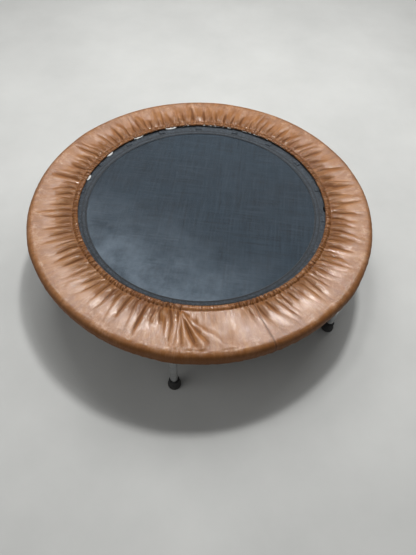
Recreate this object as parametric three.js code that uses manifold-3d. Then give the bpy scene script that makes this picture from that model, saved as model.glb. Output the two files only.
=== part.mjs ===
// A round mini trampoline on six screw-in legs.
// Millimetres, +Z up. The origin is on the floor, under the middle of the mat.
// Pieces that repeat are numbered anticlockwise seen from above, starting next to +X.
import * as THREE from "three";
import { mergeVertices } from "three/addons/utils/BufferGeometryUtils.js";
import Module from "manifold-3d";

const wasm = await Module();
wasm.setup();

// Driving dimensions
const HOOP_RADIUS = 492; // centre line of the frame tube
const HOOP_HEIGHT = 205; // centre line of the frame tube above the floor
const TUBE_RADIUS = 16;
const TUBE_WALL = 1.5;
const LEG_COUNT = 6;
const LEG_RADIUS = 11.1; // outside of the leg tube
const LEG_WALL = 1.2;
const SPRING_PAIRS = 18;
const MAT_RADIUS = 383; // mean edge of the mat
const MAT_SCALLOP = 5; // the edge is this much further out at a ring and further in between two
const MAT_THICKNESS = 2;
const SKIRT_OPENING_RADIUS = 372;
const SKIRT_THICKNESS = 2;
const GAP = 0.4; // between pieces that touch on the real object

// Resolution
const AROUND = 48; // steps round the whole object
const TUBE_SIDES = 8;
const LEG_SIDES = 10;

// Derived places
const PAIR_ANGLE = 360 / SPRING_PAIRS;
const HOLE_OFFSET = PAIR_ANGLE / 4; // a pair's two spring holes stand this far either side of its ring
const FIRST_LEG_ANGLE = 30; // the tube's own joint is at 0, halfway between two legs
const TUBE_BOTTOM = HOOP_HEIGHT - TUBE_RADIUS;
const MAT_TOP = HOOP_HEIGHT + MAT_THICKNESS / 2;

// Frame details
const SPRING_HOLE_RADIUS = 3.4;
const SLEEVE_RADIUS = TUBE_RADIUS - TUBE_WALL - GAP;
const SLEEVE_HALF_LENGTH = 30;
const SCREW_OFFSET = 2.1; // degrees either side of the tube's joint
const SCREW_RADIUS = 1.9;
const SCREW_HEAD_RADIUS = 4;
const STUD_RADIUS = 4.8;
const STUD_TOP = TUBE_BOTTOM + 7;
const STUD_BOTTOM = TUBE_BOTTOM - 40;
const BOSS_RADIUS = 13;
const BOSS_BOTTOM = TUBE_BOTTOM - 10;

// Leg details
const TIP_RADIUS = 18.5;
const TIP_HEIGHT = 34;
const TIP_FLOOR = 8.5;
const INSERT_TOP = BOSS_BOTTOM - GAP;
const INSERT_FLANGE = 1.8;
const INSERT_LENGTH = 26;
const LEG_TOP = INSERT_TOP - INSERT_FLANGE - GAP;
const LEG_BOTTOM = TIP_FLOOR + GAP;

// Mat edge details
const BAND_WIDTH = 40;
const BAND_THICKNESS = 1.2;
const TAB_WIDTH = 22;
const TAB_LENGTH = 10;
const TAB_HEIGHT = 6.4;
const TAB_INNER = MAT_RADIUS + MAT_SCALLOP + GAP;

// Ring and spring details
const WIRE_HEIGHT = HOOP_HEIGHT - 0.4;
const RING_WIRE = 1.7;
const RING_INNER = TAB_INNER + TAB_LENGTH / 2; // its inner bar runs through the tab
const RING_OUTER = RING_INNER + 17.5;
const RING_INNER_HALF = 17;
const RING_OUTER_HALF = 8;
const HOOK_WIRE = 1.2;
const COIL_RADIUS = 6;
const COIL_FROM_RING = 11; // length of the hook at the ring
const COIL_FROM_TUBE = 12; // length of the hook at the frame
const HOOK_IN_TUBE = 5;

// Skirt details
const COVER_RADIUS = TUBE_RADIUS + 4.5; // outside of the skirt where it goes over the frame tube
const CASING_WIDTH = 14;
const CASING_BOTTOM = MAT_TOP + 3;
const CASING_TOP = CASING_BOTTOM + 6.5;
const ELASTIC_WIDTH = 6;
const ELASTIC_HEIGHT = 3;
const HEM_INNER = HOOP_RADIUS + BOSS_RADIUS + 0.8;
const HEM_BOTTOM = TUBE_BOTTOM - 8.5;
const HEM_HEIGHT = 6;
const HEM_THICKNESS = 2;

const radians = THREE.MathUtils.degToRad;

// A geometry as a manifold-3d solid, so that it can be cut or joined.
function toSolid(geometry) {
  const bare = new THREE.BufferGeometry();
  bare.setAttribute("position", geometry.getAttribute("position"));
  bare.setIndex(geometry.index);
  const merged = mergeVertices(bare, 1e-3);
  return new wasm.Manifold(new wasm.Mesh({
    numProp: 3,
    vertProperties: merged.attributes.position.array,
    triVerts: new Uint32Array(merged.index.array),
  }));
}

function toGeometry(solid) {
  const mesh = solid.getMesh();
  const geometry = new THREE.BufferGeometry();
  geometry.setAttribute("position", new THREE.BufferAttribute(mesh.vertProperties, 3));
  geometry.setIndex(new THREE.BufferAttribute(mesh.triVerts, 1));
  return geometry;
}

// Turns a closed profile of [radius, height] points, listed anticlockwise, about Z.
function revolve(points, steps = AROUND) {
  const profile = [...points, points[0]].map(([radius, height]) => new THREE.Vector2(radius, height));
  return new THREE.LatheGeometry(profile, steps).rotateX(Math.PI / 2);
}

// A solid turned piece: its outline runs up from the axis at the bottom to the axis at the top.
function turned(points, steps = LEG_SIDES) {
  const profile = points.map(([radius, height]) => new THREE.Vector2(radius, height));
  return new THREE.LatheGeometry(profile, steps).rotateX(Math.PI / 2);
}

function rectangle(inner, outer, bottom, top) {
  return [[inner, bottom], [outer, bottom], [outer, top], [inner, top]];
}

function tubeSection(radius) {
  return Array.from({ length: TUBE_SIDES }, (_, i) => {
    const turn = (2 * Math.PI * (i + 0.5)) / TUBE_SIDES;
    return [HOOP_RADIUS + radius * Math.cos(turn), HOOP_HEIGHT + radius * Math.sin(turn)];
  });
}

function onCircle(radius, degrees, height) {
  const turn = radians(degrees);
  return new THREE.Vector3(radius * Math.cos(turn), radius * Math.sin(turn), height);
}

// A straight rod between two points.
function rod(from, to, radius, sides) {
  const along = to.clone().sub(from);
  const geometry = new THREE.CylinderGeometry(radius, radius, along.length(), sides);
  const turn = new THREE.Quaternion().setFromUnitVectors(new THREE.Vector3(0, 1, 0), along.normalize());
  geometry.applyQuaternion(turn);
  const middle = from.clone().add(to).multiplyScalar(0.5);
  return toSolid(geometry.translate(middle.x, middle.y, middle.z));
}

function joined(solids) {
  return solids.reduce((all, solid) => all.add(solid));
}

const steel = new THREE.MeshStandardMaterial({ color: 0xb4b7b8, roughness: 0.3, metalness: 1 });
const chrome = new THREE.MeshStandardMaterial({ color: 0xc8cccd, roughness: 0.15, metalness: 1 });
const zinc = new THREE.MeshStandardMaterial({ color: 0xa9adae, roughness: 0.35, metalness: 1 });
const rubber = new THREE.MeshStandardMaterial({ color: 0x161616, roughness: 0.8, metalness: 0 });
const weave = new THREE.MeshStandardMaterial({ color: 0x2b3036, roughness: 0.75, metalness: 0 });
const webbing = new THREE.MeshStandardMaterial({ color: 0x23272e, roughness: 0.85, metalness: 0 });
const vinyl = new THREE.MeshStandardMaterial({ color: 0x9a5c34, roughness: 0.35, metalness: 0 });
const elastic = new THREE.MeshStandardMaterial({ color: 0xd8d2c4, roughness: 0.9, metalness: 0 });

const trampoline = new THREE.Group();
trampoline.name = "mini_trampoline";

function addPiece(parent, name, geometry, material) {
  const mesh = new THREE.Mesh(geometry, material);
  mesh.name = name;
  parent.add(mesh);
}

// The frame tube is rolled into one hoop. Its ends meet over an inner sleeve.
function hoopTube() {
  let hoop = toSolid(revolve(tubeSection(TUBE_RADIUS)));
  hoop = hoop.subtract(toSolid(revolve(tubeSection(TUBE_RADIUS - TUBE_WALL))));
  const jointCut = new THREE.BoxGeometry(4 * TUBE_RADIUS, GAP, 4 * TUBE_RADIUS);
  const cuts = [toSolid(jointCut.translate(HOOP_RADIUS, 0, HOOP_HEIGHT))];
  for (let pair = 0; pair < SPRING_PAIRS; pair++) {
    for (const side of [-1, 1]) {
      const angle = PAIR_ANGLE * pair + side * HOLE_OFFSET;
      const from = onCircle(HOOP_RADIUS - TUBE_RADIUS - 3, angle, HOOP_HEIGHT);
      const to = onCircle(HOOP_RADIUS - 4, angle, HOOP_HEIGHT);
      cuts.push(rod(from, to, SPRING_HOLE_RADIUS, 6));
    }
  }
  for (let leg = 0; leg < LEG_COUNT; leg++) {
    cuts.push(upright(legAngle(leg), STUD_RADIUS + GAP, TUBE_BOTTOM - 4, HOOP_HEIGHT, LEG_SIDES));
  }
  for (const side of [-1, 1]) {
    cuts.push(upright(side * SCREW_OFFSET, SCREW_RADIUS + GAP, TUBE_BOTTOM - 4, HOOP_HEIGHT, 8));
  }
  return toGeometry(hoop.subtract(joined(cuts)));
}

function upright(degrees, radius, bottom, top, sides) {
  return rod(onCircle(HOOP_RADIUS, degrees, bottom), onCircle(HOOP_RADIUS, degrees, top), radius, sides);
}

function legAngle(leg) {
  return FIRST_LEG_ANGLE + (360 / LEG_COUNT) * leg;
}

// A short hollow tube that bridges the joint inside the frame tube.
function jointSleeve() {
  const outer = toSolid(revolve(tubeSection(SLEEVE_RADIUS)));
  const inner = toSolid(revolve(tubeSection(SLEEVE_RADIUS - TUBE_WALL)));
  const reach = new THREE.BoxGeometry(4 * TUBE_RADIUS, 2 * SLEEVE_HALF_LENGTH, 4 * TUBE_RADIUS);
  let sleeve = outer.subtract(inner).intersect(toSolid(reach.translate(HOOP_RADIUS, 0, HOOP_HEIGHT)));
  for (const side of [-1, 1]) {
    const hole = upright(side * SCREW_OFFSET, SCREW_RADIUS + GAP, TUBE_BOTTOM - 4, HOOP_HEIGHT, 8);
    sleeve = sleeve.subtract(hole);
  }
  return toGeometry(sleeve);
}

// A pan-head screw that comes up through the tube and the sleeve.
function jointScrew() {
  const headTop = TUBE_BOTTOM + 0.8 - GAP;
  return turned([
    [0, headTop - 2.6],
    [SCREW_HEAD_RADIUS - 1, headTop - 2.6],
    [SCREW_HEAD_RADIUS, headTop - 0.4],
    [SCREW_RADIUS, headTop - 0.4],
    [SCREW_RADIUS, TUBE_BOTTOM + 9],
    [0, TUBE_BOTTOM + 10.5],
  ], 8);
}

// The boss is a short saddle welded under the tube, and the leg screws up against it.
// It is made on +X, where a facet of the tube has the same place as at each leg.
function legBoss() {
  const boss = toSolid(new THREE.CylinderGeometry(BOSS_RADIUS, BOSS_RADIUS, 15, LEG_SIDES)
    .rotateX(Math.PI / 2).translate(HOOP_RADIUS, 0, BOSS_BOTTOM + 7.5));
  const saddle = toSolid(revolve(tubeSection(TUBE_RADIUS + GAP)));
  const bore = upright(0, STUD_RADIUS + GAP, BOSS_BOTTOM - 4, HOOP_HEIGHT, LEG_SIDES);
  return toGeometry(boss.subtract(saddle).subtract(bore));
}

function legStud() {
  return turned([
    [0, STUD_BOTTOM],
    [STUD_RADIUS - 1.2, STUD_BOTTOM],
    [STUD_RADIUS, STUD_BOTTOM + 1.2],
    [STUD_RADIUS, STUD_TOP],
    [0, STUD_TOP],
  ]);
}

// The threaded plug in the top of a leg.
function legInsert() {
  const bore = STUD_RADIUS + GAP;
  const plug = LEG_RADIUS - LEG_WALL - GAP;
  return revolve([
    [bore, INSERT_TOP - INSERT_LENGTH],
    [plug, INSERT_TOP - INSERT_LENGTH],
    [plug, INSERT_TOP - INSERT_FLANGE],
    [LEG_RADIUS, INSERT_TOP - INSERT_FLANGE],
    [LEG_RADIUS, INSERT_TOP],
    [bore, INSERT_TOP],
  ], LEG_SIDES);
}

function legTube() {
  return revolve(rectangle(LEG_RADIUS - LEG_WALL, LEG_RADIUS, LEG_BOTTOM, LEG_TOP), LEG_SIDES);
}

// The rubber tip is a cup with a chamfered foot.
function rubberTip() {
  const bore = LEG_RADIUS + GAP;
  return turned([
    [0, 0],
    [TIP_RADIUS - 1.5, 0],
    [TIP_RADIUS, 2],
    [TIP_RADIUS, 9],
    [TIP_RADIUS - 3, 14],
    [TIP_RADIUS - 4, TIP_HEIGHT],
    [bore, TIP_HEIGHT],
    [bore, TIP_FLOOR],
    [0, TIP_FLOOR],
  ]);
}

// The mat's edge stands out at each ring and draws in between two rings.
function matEdge(inset) {
  const steps = 3 * SPRING_PAIRS;
  return Array.from({ length: steps }, (_, i) => {
    const degrees = (360 / steps) * (i + 0.5);
    const wave = Math.cos(radians(SPRING_PAIRS * degrees));
    const point = onCircle(MAT_RADIUS + MAT_SCALLOP * wave - inset, degrees, 0);
    return new THREE.Vector2(point.x, point.y);
  });
}

function mat() {
  const settings = { depth: MAT_THICKNESS, bevelEnabled: false };
  return new THREE.ExtrudeGeometry(new THREE.Shape(matEdge(0)), settings)
    .translate(0, 0, HOOP_HEIGHT - MAT_THICKNESS / 2);
}

// The webbing band lies on the edge of the mat. One tab at each ring goes round the ring's inner bar.
function matWebbing() {
  const outline = new THREE.Shape(matEdge(0));
  outline.holes.push(new THREE.Path(matEdge(BAND_WIDTH)));
  const bandBottom = MAT_TOP + GAP;
  const settings = { depth: BAND_THICKNESS, bevelEnabled: false };
  let band = toSolid(new THREE.ExtrudeGeometry(outline, settings).translate(0, 0, bandBottom));
  const tabTop = bandBottom + BAND_THICKNESS;
  for (let pair = 0; pair < SPRING_PAIRS; pair++) {
    const body = new THREE.BoxGeometry(TAB_LENGTH, TAB_WIDTH, TAB_HEIGHT)
      .translate(TAB_INNER + TAB_LENGTH / 2, 0, tabTop - TAB_HEIGHT / 2);
    const bridge = new THREE.BoxGeometry(8, TAB_WIDTH, BAND_THICKNESS)
      .translate(TAB_INNER, 0, bandBottom + BAND_THICKNESS / 2);
    const bar = new THREE.BoxGeometry(2 * (RING_WIRE + GAP), 2 * TAB_WIDTH, 2 * (RING_WIRE + GAP))
      .translate(RING_INNER, 0, WIRE_HEIGHT);
    const tab = toSolid(body).add(toSolid(bridge)).subtract(toSolid(bar));
    band = band.add(tab.rotate([0, 0, PAIR_ANGLE * pair]));
  }
  return toGeometry(band);
}

// The ring is a flat wire frame in the plane of the mat, wide at the tab and narrow at the springs.
function ring() {
  const corners = (inset) => [
    new THREE.Vector2(RING_INNER + inset, -RING_INNER_HALF + inset),
    new THREE.Vector2(RING_OUTER - inset, -RING_OUTER_HALF + inset),
    new THREE.Vector2(RING_OUTER - inset, RING_OUTER_HALF - inset),
    new THREE.Vector2(RING_INNER + inset, RING_INNER_HALF - inset),
  ];
  const outline = new THREE.Shape(corners(-RING_WIRE));
  outline.holes.push(new THREE.Path(corners(RING_WIRE)));
  const settings = { depth: 2 * RING_WIRE, bevelEnabled: false };
  return toSolid(new THREE.ExtrudeGeometry(outline, settings).translate(0, 0, WIRE_HEIGHT - RING_WIRE));
}

// Two extension springs that share one ring. Each is hooked into a hole in the frame tube.
function springPair() {
  const pieces = [ring()];
  for (const side of [-1, 1]) {
    const start = new THREE.Vector3(RING_OUTER, side * (RING_OUTER_HALF - 0.5), WIRE_HEIGHT);
    const hole = onCircle(HOOP_RADIUS - TUBE_RADIUS, side * HOLE_OFFSET, WIRE_HEIGHT);
    const along = hole.clone().sub(start);
    const length = along.length();
    along.normalize();
    const at = (distance) => start.clone().addScaledVector(along, distance);
    pieces.push(rod(start, at(length + HOOK_IN_TUBE), HOOK_WIRE, 4));
    pieces.push(rod(at(COIL_FROM_RING), at(length - COIL_FROM_TUBE), COIL_RADIUS, 7));
  }
  return toGeometry(joined(pieces));
}

// The vinyl skirt covers the springs and the frame tube. Both of its edges are casings for elastic.
function skirt() {
  const over = (radius, degrees) => [
    HOOP_RADIUS + radius * Math.cos(radians(degrees)),
    HOOP_HEIGHT + radius * Math.sin(radians(degrees)),
  ];
  const under = COVER_RADIUS - SKIRT_THICKNESS;
  const casingOuter = SKIRT_OPENING_RADIUS + CASING_WIDTH;
  const grooveInner = SKIRT_OPENING_RADIUS + (CASING_WIDTH - ELASTIC_WIDTH) / 2 - GAP;
  const grooveOuter = grooveInner + ELASTIC_WIDTH + 2 * GAP;
  const grooveTop = CASING_BOTTOM + ELASTIC_HEIGHT + 2 * GAP;
  const outer = HOOP_RADIUS + COVER_RADIUS;
  const inside = outer - SKIRT_THICKNESS;
  const lip = HEM_INNER + 1.4;
  return revolve([
    [SKIRT_OPENING_RADIUS, CASING_BOTTOM],
    [grooveInner, CASING_BOTTOM],
    [grooveInner, grooveTop],
    [grooveOuter, grooveTop],
    [grooveOuter, CASING_BOTTOM],
    [casingOuter, CASING_BOTTOM],
    over(under, 112),
    over(under, 76),
    over(under, 38),
    [inside, HOOP_HEIGHT],
    [inside, HEM_BOTTOM + HEM_THICKNESS],
    [lip, HEM_BOTTOM + HEM_THICKNESS],
    [lip, HEM_BOTTOM + HEM_HEIGHT],
    [HEM_INNER, HEM_BOTTOM + HEM_HEIGHT],
    [HEM_INNER, HEM_BOTTOM],
    [outer, HEM_BOTTOM],
    over(COVER_RADIUS, 0),
    over(COVER_RADIUS, 36),
    over(COVER_RADIUS, 72),
    over(COVER_RADIUS, 108),
    [casingOuter, CASING_TOP],
    [SKIRT_OPENING_RADIUS, CASING_TOP],
  ]);
}

function innerElastic() {
  const inner = SKIRT_OPENING_RADIUS + (CASING_WIDTH - ELASTIC_WIDTH) / 2;
  const bottom = CASING_BOTTOM + GAP;
  return revolve(rectangle(inner, inner + ELASTIC_WIDTH, bottom, bottom + ELASTIC_HEIGHT));
}

function outerElastic() {
  const inner = HEM_INNER + 1.4 + GAP;
  const outer = HOOP_RADIUS + COVER_RADIUS - SKIRT_THICKNESS - GAP;
  return revolve(rectangle(inner, outer, HEM_BOTTOM + HEM_THICKNESS + GAP, HEM_BOTTOM + HEM_HEIGHT));
}

addPiece(trampoline, "hoop_tube", hoopTube(), steel);
addPiece(trampoline, "joint_sleeve", jointSleeve(), zinc);
for (const [i, side] of [-1, 1].entries()) {
  const place = onCircle(HOOP_RADIUS, side * SCREW_OFFSET, 0);
  addPiece(trampoline, `joint_screw_${i + 1}`, jointScrew().translate(place.x, place.y, 0), zinc);
}

for (let leg = 0; leg < LEG_COUNT; leg++) {
  const station = new THREE.Group();
  station.rotation.z = radians(legAngle(leg));
  trampoline.add(station);
  const onAxis = (geometry) => geometry.translate(HOOP_RADIUS, 0, 0);
  addPiece(station, `leg_boss_${leg + 1}`, legBoss(), steel);
  addPiece(station, `leg_stud_${leg + 1}`, onAxis(legStud()), zinc);
  addPiece(station, `leg_insert_${leg + 1}`, onAxis(legInsert()), zinc);
  addPiece(station, `leg_tube_${leg + 1}`, onAxis(legTube()), chrome);
  addPiece(station, `rubber_tip_${leg + 1}`, onAxis(rubberTip()), rubber);
}

addPiece(trampoline, "mat", mat(), weave);
addPiece(trampoline, "mat_webbing", matWebbing(), webbing);
for (let pair = 0; pair < SPRING_PAIRS; pair++) {
  const station = new THREE.Group();
  station.rotation.z = radians(PAIR_ANGLE * pair);
  trampoline.add(station);
  const number = String(pair + 1).padStart(2, "0");
  addPiece(station, `spring_pair_${number}`, springPair(), zinc);
}

addPiece(trampoline, "skirt", skirt(), vinyl);
addPiece(trampoline, "inner_elastic", innerElastic(), elastic);
addPiece(trampoline, "outer_elastic", outerElastic(), elastic);

export default trampoline;
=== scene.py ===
"""The looks of a round mini trampoline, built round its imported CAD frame. Metres, +Z up, angles in degrees.

Directions round the trampoline are angles seen from above, anticlockwise from +X.
"""

import math

import bpy
import numpy as np
from mathutils import Matrix, Vector


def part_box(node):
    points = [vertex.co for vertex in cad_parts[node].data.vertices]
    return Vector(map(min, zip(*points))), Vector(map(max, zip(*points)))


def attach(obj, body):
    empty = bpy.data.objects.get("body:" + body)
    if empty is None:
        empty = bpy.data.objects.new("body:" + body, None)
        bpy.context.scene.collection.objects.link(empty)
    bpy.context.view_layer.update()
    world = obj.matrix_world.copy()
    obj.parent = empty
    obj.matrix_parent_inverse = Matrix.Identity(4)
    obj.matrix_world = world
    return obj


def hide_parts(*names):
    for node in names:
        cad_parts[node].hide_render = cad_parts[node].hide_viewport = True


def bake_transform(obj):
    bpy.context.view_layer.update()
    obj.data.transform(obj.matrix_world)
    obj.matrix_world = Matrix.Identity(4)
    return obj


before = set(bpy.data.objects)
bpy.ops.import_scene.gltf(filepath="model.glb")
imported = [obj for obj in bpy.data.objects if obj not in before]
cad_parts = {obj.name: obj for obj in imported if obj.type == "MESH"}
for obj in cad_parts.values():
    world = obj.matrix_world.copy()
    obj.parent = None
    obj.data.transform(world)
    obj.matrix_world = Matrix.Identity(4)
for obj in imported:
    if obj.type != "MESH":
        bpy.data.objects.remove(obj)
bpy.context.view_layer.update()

# ---------------------------------------------------------------- sizes, from the frame

HOOP_LOW, HOOP_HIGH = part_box("hoop_tube")
SKIRT_LOW, SKIRT_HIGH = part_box("skirt")
SPRING_LOW, SPRING_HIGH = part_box("spring_pair_01")
WEBBING_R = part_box("mat_webbing")[1].x

HOOP_Z = (HOOP_HIGH.z + HOOP_LOW.z) / 2
TUBE_HALF = (HOOP_HIGH.z - HOOP_LOW.z) / 2
HOOP_R = HOOP_HIGH.x - TUBE_HALF
TUBE_R = 1.04 * TUBE_HALF  # the CAD tube has flats, so a round one of the same bulk is a little thicker
RIM_R = SKIRT_HIGH.x
COVER_R = RIM_R - HOOP_R
OPENING_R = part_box("inner_elastic")[1].x - 0.010
MAT_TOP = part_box("mat")[1].z
PAIRS = 18
PAIR_ANGLE = 360 / PAIRS
HOLE_OFFSET = PAIR_ANGLE / 4
RING_R = WEBBING_R - 0.005  # a ring's inner bar
WIRE_Z = (SPRING_LOW.z + SPRING_HIGH.z) / 2
LEGS = 6

# SINK_START is the inner side of the frame tube.
SINK_START = HOOP_R - TUBE_R

# The camera stands on this side of the trampoline.
VIEW_SIDE = -82.4


def toward_view(degrees):
    """A direction counted from the side that the camera stands on, +90 being to the camera's right."""
    return VIEW_SIDE + degrees


# ---------------------------------------------------------------- numbers and curves


def smooth(x, low=0.0, high=1.0):
    t = np.clip((np.asarray(x, float) - low) / (high - low), 0, 1)
    return t * t * (3 - 2 * t)


def turn_between(a, b):
    """Degrees from b to a, the short way round."""
    return (np.asarray(a, float) - b + 180) % 360 - 180


def from_view(angle):
    """Degrees from the camera's side to a direction, the short way round: the reverse of toward_view."""
    return turn_between(angle, VIEW_SIDE)


def degrees_round(steps):
    return np.arange(steps) * 360 / steps


def near(angle, centre, spread):
    """1 at a direction, falling off over spread degrees either side."""
    return np.exp(-((turn_between(angle, centre) / spread) ** 2))


def wavy(angle, seed, low, high):
    """A smooth random wave round the trampoline, of low to high ripples a turn, about -1 to 1."""
    rng = np.random.default_rng(seed)
    total = np.zeros_like(np.asarray(angle, float))
    for count in range(low, high + 1):
        total += rng.normal() * np.cos(np.radians(count * angle) + rng.uniform(0, 2 * math.pi))
    return total / math.sqrt(high - low + 1)


def polar(radius, degrees, height):
    turn = math.radians(degrees)
    return Vector((radius * math.cos(turn), radius * math.sin(turn), height))


def round_row(radius, turn, height):
    """Points round the trampoline: turn in radians, radius and height as one number or one for each turn."""
    return np.stack(np.broadcast_arrays(radius * np.cos(turn), radius * np.sin(turn), height), -1)


# ---------------------------------------------------------------- mesh making


def new_piece(name, vertices, faces, smooth_faces=True):
    mesh = bpy.data.meshes.new(name)
    mesh.from_pydata(np.asarray(vertices, float).tolist(), [], faces)
    mesh.validate()
    mesh.update()
    if smooth_faces:
        mesh.shade_smooth()
    piece = bpy.data.objects.new(name, mesh)
    bpy.context.scene.collection.objects.link(piece)
    return piece


def grid_faces(rows, columns, wrap_rows=False):
    """Faces of a grid whose columns close on themselves. They face rows x columns."""
    r = np.arange(rows if wrap_rows else rows - 1)[:, None]
    c = np.arange(columns)[None, :]
    r2, c2 = (r + 1) % rows, (c + 1) % columns
    corners = (r * columns + c, r2 * columns + c, r2 * columns + c2, r * columns + c2)
    return np.stack([np.broadcast_to(k, (len(r), columns)) for k in corners], -1).reshape(-1, 4).tolist()


def outer_faces(rows, columns, wrap_rows=False):
    """The same faces the other way round, for a section listed anticlockwise or from the bottom up."""
    return [face[::-1] for face in grid_faces(rows, columns, wrap_rows)]


def end_caps(rows, columns):
    """Faces that close the first and the last row of a grid."""
    return [list(range(columns))[::-1], [(rows - 1) * columns + k for k in range(columns)]]


def store(piece, name, values):
    attribute = piece.data.attributes.new(name, "FLOAT", "POINT")
    attribute.data.foreach_set("value", np.asarray(values, np.float32).ravel())


def revolved(profile, steps, centre):
    angle = np.radians(degrees_round(steps))
    return [(centre[0] + r * math.cos(a), centre[1] + r * math.sin(a), z) for r, z in profile for a in angle]


def turned(name, profile, steps, centre):
    """A solid of revolution: profile runs from the axis at the bottom to the axis at the top."""
    rings = profile[1:-1]
    points = revolved(rings, steps, centre)
    faces = outer_faces(len(rings), steps)
    low, high = len(points), len(points) + 1
    points += [(*centre, profile[0][1]), (*centre, profile[-1][1])]
    last = (len(rings) - 1) * steps
    for i in range(steps):
        j = (i + 1) % steps
        faces.append([low, j, i])
        faces.append([high, last + i, last + j])
    return new_piece(name, points, faces)


def ring_turned(name, profile, steps, centre):
    """A hollow solid of revolution whose profile closes on itself, listed anticlockwise."""
    return new_piece(name, revolved(profile, steps, centre), outer_faces(len(profile), steps, wrap_rows=True))


def rounded(profile, radius, closed=False, steps=3):
    """A profile with its corners rounded, leaving its first and last point alone unless it is closed."""
    points = [Vector(p) for p in profile]
    out = []
    for i, here in enumerate(points):
        if not closed and i in (0, len(points) - 1):
            out.append(tuple(here))
            continue
        before, after = points[i - 1], points[(i + 1) % len(points)]
        reach = min(radius, (before - here).length * 0.45, (after - here).length * 0.45)
        start = here + (before - here).normalized() * reach
        end = here + (after - here).normalized() * reach
        for k in range(steps + 1):
            t = k / steps
            out.append(tuple(start * (1 - t) ** 2 + here * 2 * t * (1 - t) + end * t * t))
    return out


def swept(path, radius, sides, closed=False):
    """Vertices and faces of a round wire along a path. radius is one number, or one for each point."""
    path = np.asarray(path, float)
    count = len(path)
    radii = np.broadcast_to(radius, count)
    if closed:
        along = np.roll(path, -1, 0) - np.roll(path, 1, 0)
    else:
        along = np.gradient(path, axis=0)
    along /= np.linalg.norm(along, axis=1)[:, None]
    side = np.cross(along[0], (0, 0, 1) if abs(along[0][2]) < 0.9 else (1, 0, 0))
    frames = []
    for t in along:
        side = side - t * (side @ t)
        side /= np.linalg.norm(side)
        frames.append((side, np.cross(t, side)))
    angle = np.arange(sides) * 2 * math.pi / sides
    points = [path[i] + radii[i] * (math.cos(a) * frames[i][0] + math.sin(a) * frames[i][1])
              for i in range(count) for a in angle]
    faces = outer_faces(count, sides, wrap_rows=closed)
    return points, faces if closed else faces + end_caps(count, sides)


def merged(parts):
    """Several (vertices, faces) as one."""
    points, faces = [], []
    for more_points, more_faces in parts:
        faces += [[k + len(points) for k in face] for face in more_faces]
        points += [tuple(p) for p in more_points]
    return points, faces


def sink(piece):
    """Bakes the piece's transform while its points lie flat at their distance from the middle, then puts the
    points back.
    """
    places = np.array([v.co for v in piece.data.vertices])
    flat = np.zeros_like(places)
    flat[:, 0] = np.hypot(places[:, 0], places[:, 1])
    piece.data.vertices.foreach_set("co", flat.astype(np.float32).ravel())
    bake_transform(piece)
    piece.data.vertices.foreach_set("co", places.astype(np.float32).ravel())
    piece.data.update()


# ---------------------------------------------------------------- materials

MAT_EDGE_R = WEBBING_R - 0.0104
BAND_INNER_R = MAT_EDGE_R - 0.0450
STITCH_ROWS = (BAND_INNER_R + 0.003, BAND_INNER_R + 0.014)


class Shader:
    """One procedural material, and short ways to add nodes to it."""

    def __init__(self, name, roughness=0.5, metallic=0.0):
        self.material = bpy.data.materials.new(name)
        self.material.use_nodes = True
        self.tree = self.material.node_tree
        self.shader = self.tree.nodes["Principled BSDF"]
        self.put(self.shader, {"Roughness": roughness, "Metallic": metallic})
        self.place = self.node("TexCoord").outputs["Object"]

    def give(self, socket, value):
        """Links a socket to a node's output, or sets it to a constant."""
        if isinstance(value, bpy.types.NodeSocket):
            self.tree.links.new(value, socket)
        else:
            socket.default_value = value

    def put(self, node, inputs):
        for key, value in inputs.items():
            self.give(node.inputs[key], value)

    def node(self, kind, inputs=None, **settings):
        node = self.tree.nodes.new("ShaderNode" + kind)
        for key, value in settings.items():
            setattr(node, key, value)
        self.put(node, inputs or {})
        return node

    def attribute(self, name):
        return self.node("Attribute", attribute_name=name).outputs["Fac"]

    def noise(self, scale, detail, roughness=0.5, distortion=0.0, place=None):
        return self.node("TexNoise", {
            "Vector": place or self.place, "Scale": scale, "Detail": detail,
            "Roughness": roughness, "Distortion": distortion}).outputs["Fac"]

    def cells(self, scale):
        return self.node("TexVoronoi", {"Vector": self.place, "Scale": scale}).outputs["Distance"]

    def stretched(self, scale, place=None):
        return self.node("Mapping", {"Vector": place or self.place, "Scale": scale}).outputs[0]

    def math(self, operation, a, b=0.0):
        node = self.node("Math", operation=operation)
        self.give(node.inputs[0], a)
        self.give(node.inputs[1], b)
        return node.outputs[0]

    def times(self, a, b):
        return self.math("MULTIPLY", a, b)

    def wave(self, value, length):
        return self.math("SINE", self.times(value, 2 * math.pi / length))

    def middle_lines(self, noise, width):
        """1 along the lines where a noise crosses its middle, 0 away from them."""
        return self.fit(self.math("ABSOLUTE", self.math("SUBTRACT", noise, 0.5)), 0.0, width, 1.0, 0.0)

    def fit(self, value, low, high, to_low=0.0, to_high=1.0):
        return self.node("MapRange", {"Value": value, "From Min": low, "From Max": high,
                                      "To Min": to_low, "To Max": to_high}).outputs[0]

    def mix(self, factor, a, b):
        node = self.node("Mix", data_type="RGBA")
        self.give(node.inputs[0], factor)
        for socket, color in ((node.inputs[6], a), (node.inputs[7], b)):
            self.give(socket, (*color, 1) if isinstance(color, tuple) else color)
        return node.outputs[2]

    def lay(self, over, where, share):
        """Lays a colour over the one that is there, where the mask says, by at most the share."""
        self.color = self.mix(self.times(where, share), self.color, over)

    def bump(self, height, distance, strength, normal=None):
        inputs = {"Height": height, "Distance": distance, "Strength": strength}
        if normal:
            inputs["Normal"] = normal
        return self.node("Bump", inputs).outputs[0]

    def finish(self, **sockets):
        self.put(self.shader, {key.replace("_", " "): value for key, value in sockets.items()})
        self.give(self.shader.inputs["Base Color"], self.color)
        return self.material


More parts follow.
